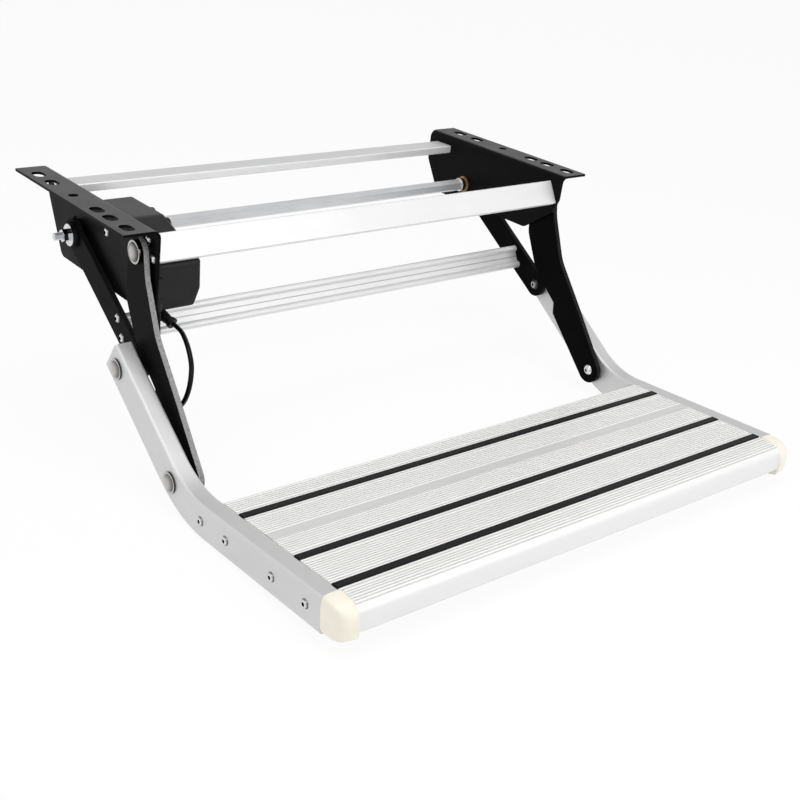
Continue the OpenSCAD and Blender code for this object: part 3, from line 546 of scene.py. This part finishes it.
def ribbed_top(start, end):
    """The top of a plank's section between two distances from the rear edge, with its grooves and seats."""
    cuts = [(first + k * GROOVE_STEP, GROOVE_W, GROOVE_DEEP)
            for first, count in GROOVE_ROWS for k in range(count)]
    cuts += [(spot, LIP_W, GROOVE_DEEP) for spot in STRIP_LIPS]
    cuts += [(spot, STRIP_W, STRIP_SEAT) for spot in STRIP_SPOTS]
    line = []
    for spot, width, deep in sorted(cuts):
        if start < spot < end:
            back, front = spot - width / 2, spot + width / 2
            line += [(back, 0), (back, -deep), (front, -deep), (front, 0)]
    return [(start, 0), *line, (end, 0)]


def arc(middle, height, radius, degrees):
    """A point on an arc in the section, by its angle forward from straight up."""
    turn = math.radians(degrees)
    return middle + radius * math.sin(turn), height + radius * math.cos(turn)


def nose_line():
    """The round nose, with the grooves that carry the ribs on round it, and the tighter corner under it."""
    radius, middle = NOSE_R / MM, NOSE_START / MM
    half = math.degrees(GROOVE_W / 2 / radius)
    bends = []
    for k in range(NOSE_GROOVES):
        turn = (k + 0.55) * NOSE_STEP
        bends += [(turn - half, 0), (turn - half, GROOVE_DEEP), (turn + half, GROOVE_DEEP), (turn + half, 0)]
    last = bends[-1][0]
    bends += [(last + (90 - last) * (k + 1) / NOSE_STEPS, 0) for k in range(NOSE_STEPS)]
    line = [arc(middle, -radius, radius - deep, turn) for turn, deep in bends]
    return line + [arc(NOSE_END - NOSE_CORNER, NOSE_CORNER - PLANK_H, NOSE_CORNER, turn)
                   for turn in range(90, 181, 10)]


def tread_plank(word, outline, cells):
    """An extruded plank: its ribbed section with hollow cells, drawn out across the step."""
    bm = bmesh.new()
    for loop in (outline, *cells):
        ring = [bm.verts.new((-TREAD_HALF, u * MM, v * MM)) for u, v in loop]
        for pair in zip(ring, ring[1:] + ring[:1]):
            bm.edges.new(pair)
    bmesh.ops.triangle_fill(bm, edges=list(bm.edges), use_beauty=True, normal=(-1, 0, 0))
    made = bmesh.ops.extrude_face_region(bm, geom=list(bm.faces))["geom"]
    far = [g for g in made if isinstance(g, bmesh.types.BMVert)]
    bmesh.ops.translate(bm, verts=far, vec=(2 * TREAD_HALF, 0, 0))
    set_in_tread(bm, 1)
    plank = piece(word + "_tread_plank", bm, tread_metal, "step")
    plank.data.shade_smooth()
    plank.data.set_sharp_from_angle(angle=RIB_ANGLE)
    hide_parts(word + "_plank")


def plank_cell(back, front):
    """A hollow between two webs or walls of a plank."""
    floor = PLANK_WALL - PLANK_H
    return [(back, -PLANK_ROOF), (front, -PLANK_ROOF), (front, floor), (back, floor)]


def tread_planks():
    """The two planks, which meet in the plain band: the rear one has a skirt, and the front one the nose."""
    half = PLANK_WALL / 2
    rear_end, front_start = PLANK_JOINT
    nose = NOSE_START / MM
    skirt = [(SKIRT_BACK, -PLANK_H), (SKIRT_BACK, SKIRT_TOP)]
    skirt_cell = plank_cell(SKIRT_BACK + PLANK_WALL, REAR_WEB - half)
    skirt_cell = [(SKIRT_ROOF_START, -PLANK_ROOF), *skirt_cell[1:],
                  (SKIRT_BACK + PLANK_WALL, SKIRT_TOP - PLANK_WALL)]
    tread_plank("rear", [*ribbed_top(0, rear_end), (rear_end, -PLANK_H), *skirt],
                [skirt_cell, plank_cell(REAR_WEB + half, rear_end - PLANK_WALL)])
    walls = [front_start + half, *FRONT_WEBS, nose + half]
    cells = [plank_cell(back + half, front - half) for back, front in zip(walls, walls[1:])]
    tread_plank("front", [*ribbed_top(front_start, nose), *nose_line(), (front_start, -PLANK_H)], cells)


tread_planks()


SHAFT = Vector((0, 39, -57)) * MM
COVER_SIDE = ((-119, -97), (-119, -46), (-38, -19.5), (36, -19.5), (60, -43.5), (60, -97))
COVER_WEB = -284 * MM
COVER_IN = -224 * MM
COVER_FOOT = -231.5 * MM
COVER_LEAN = -78 * MM
COVER_EDGE = 3.5 * MM
COVER_WALL = 2.5 * MM
HUB_HOLE_R = 14 * MM
LUG_SPOTS = ((-10, -27.5), (-44, -29.5))
LUG_R = 7.5 * MM
LUG_L = 16 * MM
LUG_OUT = 2.5 * MM
LUG_EDGE = 2 * MM
SHARP = math.radians(10)
BEVEL_STEPS = 4
ROUND_STEPS = 40
LUG_STEPS = 32


def motor_cover():
    """The motor's cover: a shell against the web that falls to the front and leans in at its foot."""
    bm = bmesh.new()
    side = bm.faces.new([bm.verts.new((COVER_WEB, y * MM, z * MM)) for y, z in COVER_SIDE])
    low = min(v.co.z for v in bm.verts)
    made = bmesh.ops.extrude_face_region(bm, geom=[side])["geom"]
    inner = [g for g in made if isinstance(g, bmesh.types.BMVert)]
    bmesh.ops.translate(bm, verts=inner, vec=(COVER_IN - COVER_WEB, 0, 0))
    bmesh.ops.bisect_plane(bm, geom=[*bm.verts, *bm.edges, *bm.faces], plane_co=(0, 0, COVER_LEAN),
                           plane_no=(0, 0, 1))
    for v in bm.verts:
        if v.co.x > COVER_FOOT and v.co.z < low + COVER_WALL:
            v.co.x = COVER_FOOT
    open_side = [f for f in bm.faces if all(v.co.x < COVER_WEB + COVER_WALL for v in f.verts)]
    bmesh.ops.delete(bm, geom=open_side, context="FACES_ONLY")
    bmesh.ops.recalc_face_normals(bm, faces=bm.faces)
    sharp = [e for e in bm.edges if len(e.link_faces) == 2 and e.calc_face_angle() > SHARP]
    bmesh.ops.bevel(bm, geom=sharp, offset=COVER_EDGE, segments=BEVEL_STEPS, profile=0.5, affect="EDGES",
                    material=-1)
    wall = max((f for f in bm.faces if f.normal.x > 0.99), key=lambda f: f.calc_area())
    rim = list(wall.edges)
    bmesh.ops.delete(bm, geom=[wall], context="FACES_ONLY")
    upright = Matrix.Translation((COVER_IN, SHAFT.y, SHAFT.z)) @ Matrix.Rotation(math.pi / 2, 4, "Y")
    hole = bmesh.ops.create_circle(bm, cap_ends=False, radius=HUB_HOLE_R, segments=ROUND_STEPS,
                                   matrix=upright)["verts"]
    rim += list({e for v in hole for e in v.link_edges})
    bmesh.ops.triangle_fill(bm, edges=rim, use_beauty=True, normal=(1, 0, 0))
    bmesh.ops.recalc_face_normals(bm, faces=bm.faces)
    shell = piece("motor_cover_shell", bm, cover_plastic, "frame")
    thick = shell.modifiers.new("shell_wall", "SOLIDIFY")
    thick.thickness = COVER_WALL
    thick.offset = -1
    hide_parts("motor_cover")


def cover_lugs():
    """The two rounded lugs at the cover's upper inner edge, for the screws that close it."""
    bm = bmesh.new()
    for y, z in LUG_SPOTS:
        middle = Vector((COVER_IN + LUG_OUT - LUG_L / 2, y * MM, z * MM))
        upright = Matrix.Translation(middle) @ Matrix.Rotation(math.pi / 2, 4, "Y")
        bmesh.ops.create_cone(bm, cap_ends=True, segments=LUG_STEPS, radius1=LUG_R, radius2=LUG_R,
                              depth=LUG_L, matrix=upright)
    ends = [e for e in bm.edges if all(v.co.x > COVER_IN for v in e.verts)]
    bmesh.ops.bevel(bm, geom=ends, offset=LUG_EDGE, segments=BEVEL_STEPS, profile=0.5, affect="EDGES",
                    material=-1)
    for f in bm.faces:
        f.smooth = len(f.verts) == 4
    piece("cover_lugs", bm, cover_plastic, "frame")


cover_lugs()
motor_cover()


def smooth_line(points, steps):
    """A smooth line through the points, with evenly shared steps between them."""
    ends = [2 * points[0] - points[1], *points, 2 * points[-1] - points[-2]]
    line = []
    for a, b, c, d in zip(ends, ends[1:], ends[2:], ends[3:]):
        for k in range(steps):
            t = k / steps
            line.append(0.5 * (2 * b + (c - a) * t + (2 * a - 5 * b + 4 * c - d) * t ** 2
                               + (3 * b - a - 3 * c + d) * t ** 3))
    return [*line, points[-1]]


LEAD_D = 6 * MM
GLAND_START = Vector((-266, -101, -103.5)) * MM
GLAND_AXIS = Vector((0.35, -0.838, -0.394)).normalized()
GLAND_L = 23 * MM
LEAD_GAP = 0.1 * MM
LEAD_BENDS = (
    (-255.2, -134, -117.5), (-256.3, -142, -120.5), (-257.8, -149.5, -124), (-259.5, -156.5, -128),
    (-261.5, -164, -134), (-263.5, -170, -141), (-266, -174, -149), (-268.5, -176, -158.5),
    (-271, -176, -168), (-273.5, -173.5, -177.5), (-276, -168, -186), (-278, -160, -191.5),
    (-279.5, -151, -192), (-280, -143, -187.5), (-280, -136.5, -179.5), (-280, -132, -168.5),
    (-279.5, -129.5, -156), (-279.5, -128, -142), (-279.5, -127.2, -128), (-279.5, -127, -115),
    (-279.5, -127, -104),
)
LEAD_END = Vector((-279.5, -127, -92.1)) * MM
WIRE_R = 2.3 * MM
WIRE_OFF = 0.7 * MM
LEAD_STEPS = 5
LEAD_ROUND = 32


def motor_lead():
    """The lead: two wires side by side along its route."""
    route = [GLAND_START + (GLAND_L + LEAD_GAP) * GLAND_AXIS, GLAND_START + (GLAND_L + LEAD_D) * GLAND_AXIS]
    route += [Vector(p) * MM for p in LEAD_BENDS]
    line = smooth_line([*route, LEAD_END], LEAD_STEPS)
    bm = bmesh.new()
    along = bm.verts.layers.float.new("lead_along")
    ring = bmesh.ops.create_circle(bm, cap_ends=False, radius=1.0, segments=LEAD_ROUND)["verts"]
    for v in ring:
        v.co *= WIRE_OFF * abs(v.co.x) + math.sqrt(WIRE_R ** 2 - (WIRE_OFF * v.co.y) ** 2)
    edges = list({e for v in ring for e in v.link_edges})
    ahead = (line[1] - line[0]).normalized()
    turn = Vector((0, 0, 1)).rotation_difference(ahead).to_matrix().to_4x4()
    bmesh.ops.transform(bm, matrix=Matrix.Translation(line[0]) @ turn, verts=ring)
    first, gone = edges, 0.0
    for k in range(1, len(line)):
        onward = (line[min(k + 1, len(line) - 1)] - line[k - 1]).normalized()
        made = bmesh.ops.extrude_edge_only(bm, edges=edges)["geom"]
        ring = [g for g in made if isinstance(g, bmesh.types.BMVert)]
        edges = [g for g in made if isinstance(g, bmesh.types.BMEdge) and all(v in ring for v in g.verts)]
        bend = ahead.rotation_difference(onward).to_matrix().to_4x4()
        move = Matrix.Translation(line[k]) @ bend @ Matrix.Translation(-line[k - 1])
        bmesh.ops.transform(bm, matrix=move, verts=ring)
        gone += (line[k] - line[k - 1]).length
        for v in ring:
            v[along] = gone
        ahead = onward
    for rim in (first, edges):
        bmesh.ops.edgeloop_fill(bm, edges=rim)
    bmesh.ops.recalc_face_normals(bm, faces=bm.faces)
    for f in bm.faces:
        f.smooth = len(f.verts) == 4
    lead = piece("lead_sleeve", bm, sleeve, "frame")
    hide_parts("motor_lead")
    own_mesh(lead)


motor_lead()


STUB_R = 4 * MM
STUB_FROM = 308.8 * MM
STUB_TO = 317.4 * MM
THREAD_PITCH = 1.1 * MM
THREAD_ROOT = STUB_R + 0.02 * MM
THREAD_CREST = STUB_R + 0.32 * MM
THREAD_BORE = STUB_R - 0.3 * MM


def stub_threads():
    """The threads that show on the shaft's ends, outside their nuts."""
    for side, word in ((-1, "left"), (1, "right")):
        bm = bmesh.new()
        turns = round((STUB_TO - STUB_FROM) / THREAD_PITCH)
        profile = [(STUB_FROM, THREAD_BORE)]
        for k in range(turns):
            base = STUB_FROM + k * THREAD_PITCH
            profile += [(base + 0.05 * MM, THREAD_ROOT), (base + 0.45 * THREAD_PITCH, THREAD_CREST),
                        (base + 0.6 * THREAD_PITCH, THREAD_CREST)]
        profile += [(STUB_TO, THREAD_ROOT), (STUB_TO, THREAD_BORE)]
        verts = [bm.verts.new((side * x, SHAFT.y, SHAFT.z + r)) for x, r in profile]
        edges = [bm.edges.new(pair) for pair in zip(verts, verts[1:] + verts[:1])]
        bmesh.ops.spin(bm, geom=verts + edges, cent=SHAFT, axis=(1, 0, 0), angle=math.tau,
                       steps=ROUND_STEPS, use_merge=True)
        bmesh.ops.remove_doubles(bm, verts=bm.verts, dist=1e-7)
        bmesh.ops.recalc_face_normals(bm, faces=bm.faces)
        piece(word + "_stub_thread", bm, zinc, "drive_arms")


stub_threads()


# Floor, lamps and surroundings

def shown_ray(tree):
    """1 on rays that show a surface: straight from the camera, in a reflection or through something clear."""
    path = tree.nodes.new("ShaderNodeLightPath")
    seen = node(tree, "ShaderNodeMath", set_operation="MAXIMUM", i0=path.outputs["Is Camera Ray"],
                i1=path.outputs["Is Glossy Ray"])
    return node(tree, "ShaderNodeMath", set_operation="MAXIMUM", i0=seen,
                i1=path.outputs["Is Transmission Ray"])


FLOOR_HALF = 6
FLOOR_DROP = 0.5 * MM
FLOOR_GREY = 0.97
FLOOR_GLOW = 0.92
WORLD_LIGHT = 0.42


def pale_floor():
    """A white floor just under the step that mostly glows where it is seen, so that its shadow is faint."""
    bm = bmesh.new()
    bmesh.ops.create_grid(bm, x_segments=1, y_segments=1, size=FLOOR_HALF)
    bmesh.ops.translate(bm, verts=bm.verts, vec=(0, 0, cad_box[0].z - FLOOR_DROP))
    mesh = bpy.data.meshes.new("pale_floor")
    bm.to_mesh(mesh)
    bm.free()
    made = bpy.data.materials.new("pale_floor")
    made.use_nodes = True
    tree = made.node_tree
    tree.nodes.clear()
    matt = node(tree, "ShaderNodeBsdfDiffuse", Color=(FLOOR_GREY, FLOOR_GREY, FLOOR_GREY, 1))
    white = node(tree, "ShaderNodeEmission", Color=(1, 1, 1, 1), Strength=1.0)
    share = node(tree, "ShaderNodeMath", set_operation="MULTIPLY", i0=shown_ray(tree), i1=FLOOR_GLOW)
    both = node(tree, "ShaderNodeMixShader", i0=share, i1=matt, i2=white)
    out = tree.nodes.new("ShaderNodeOutputMaterial")
    tree.links.new(both, out.inputs["Surface"])
    mesh.materials.append(made)
    floor = bpy.data.objects.new("pale_floor", mesh)
    scene.collection.objects.link(floor)


def studio_world():
    """A white surround, greyer overhead where the studio's ceiling is; the camera sees plain white."""
    world = bpy.data.worlds.new("pale_studio")
    world.use_nodes = True
    tree = world.node_tree
    tree.nodes.clear()
    way = node(tree, "ShaderNodeTexCoord", out=0)
    height = node(tree, "ShaderNodeSeparateXYZ", out=2, Vector=way)
    shade = tint(tree, height, (1, 1, 1), (0.3, 0.3, 0.31), 0.45, 0.9)
    path = tree.nodes.new("ShaderNodeLightPath")
    light = node(tree, "ShaderNodeBackground", Color=(1, 1, 1, 1), Strength=WORLD_LIGHT)
    mirrored = node(tree, "ShaderNodeBackground", Color=shade, Strength=1.0)
    white = node(tree, "ShaderNodeBackground", Color=(1, 1, 1, 1), Strength=1.0)
    lit = node(tree, "ShaderNodeMixShader", i0=path.outputs["Is Glossy Ray"], i1=light, i2=mirrored)
    plain = node(tree, "ShaderNodeMath", set_operation="MAXIMUM", i0=path.outputs["Is Camera Ray"],
                 i1=path.outputs["Is Transmission Ray"])
    both = node(tree, "ShaderNodeMixShader", i0=plain, i1=lit, i2=white)
    out = tree.nodes.new("ShaderNodeOutputWorld")
    tree.links.new(both, out.inputs["Surface"])
    scene.world = world


def soft_lamp(name, place, aim, size, watts):
    """A rectangular lamp at a place, turned to where it aims."""
    data = bpy.data.lights.new(name, "AREA")
    data.shape = "RECTANGLE"
    data.size, data.size_y = size
    data.energy = watts
    lamp = bpy.data.objects.new(name, data)
    lamp.location = place
    lamp.rotation_euler = (Vector(aim) - Vector(place)).to_track_quat("-Z", "Y").to_euler()
    scene.collection.objects.link(lamp)


pale_floor()
studio_world()
STEP_MIDDLE = (0, -0.2, -0.15)
soft_lamp("top_softbox", (-0.3, -0.5, 1.9), STEP_MIDDLE, (1.8, 1.4), 23)
soft_lamp("front_softbox", (0.42, -1.8, 0.6), (-0.28, -0.16, -0.1), (0.5, 1.1), 7.5)
soft_lamp("left_softbox", (-2.0, -0.6, 0.8), STEP_MIDDLE, (1.0, 1.0), 6)

scene.view_settings.view_transform = "Standard"
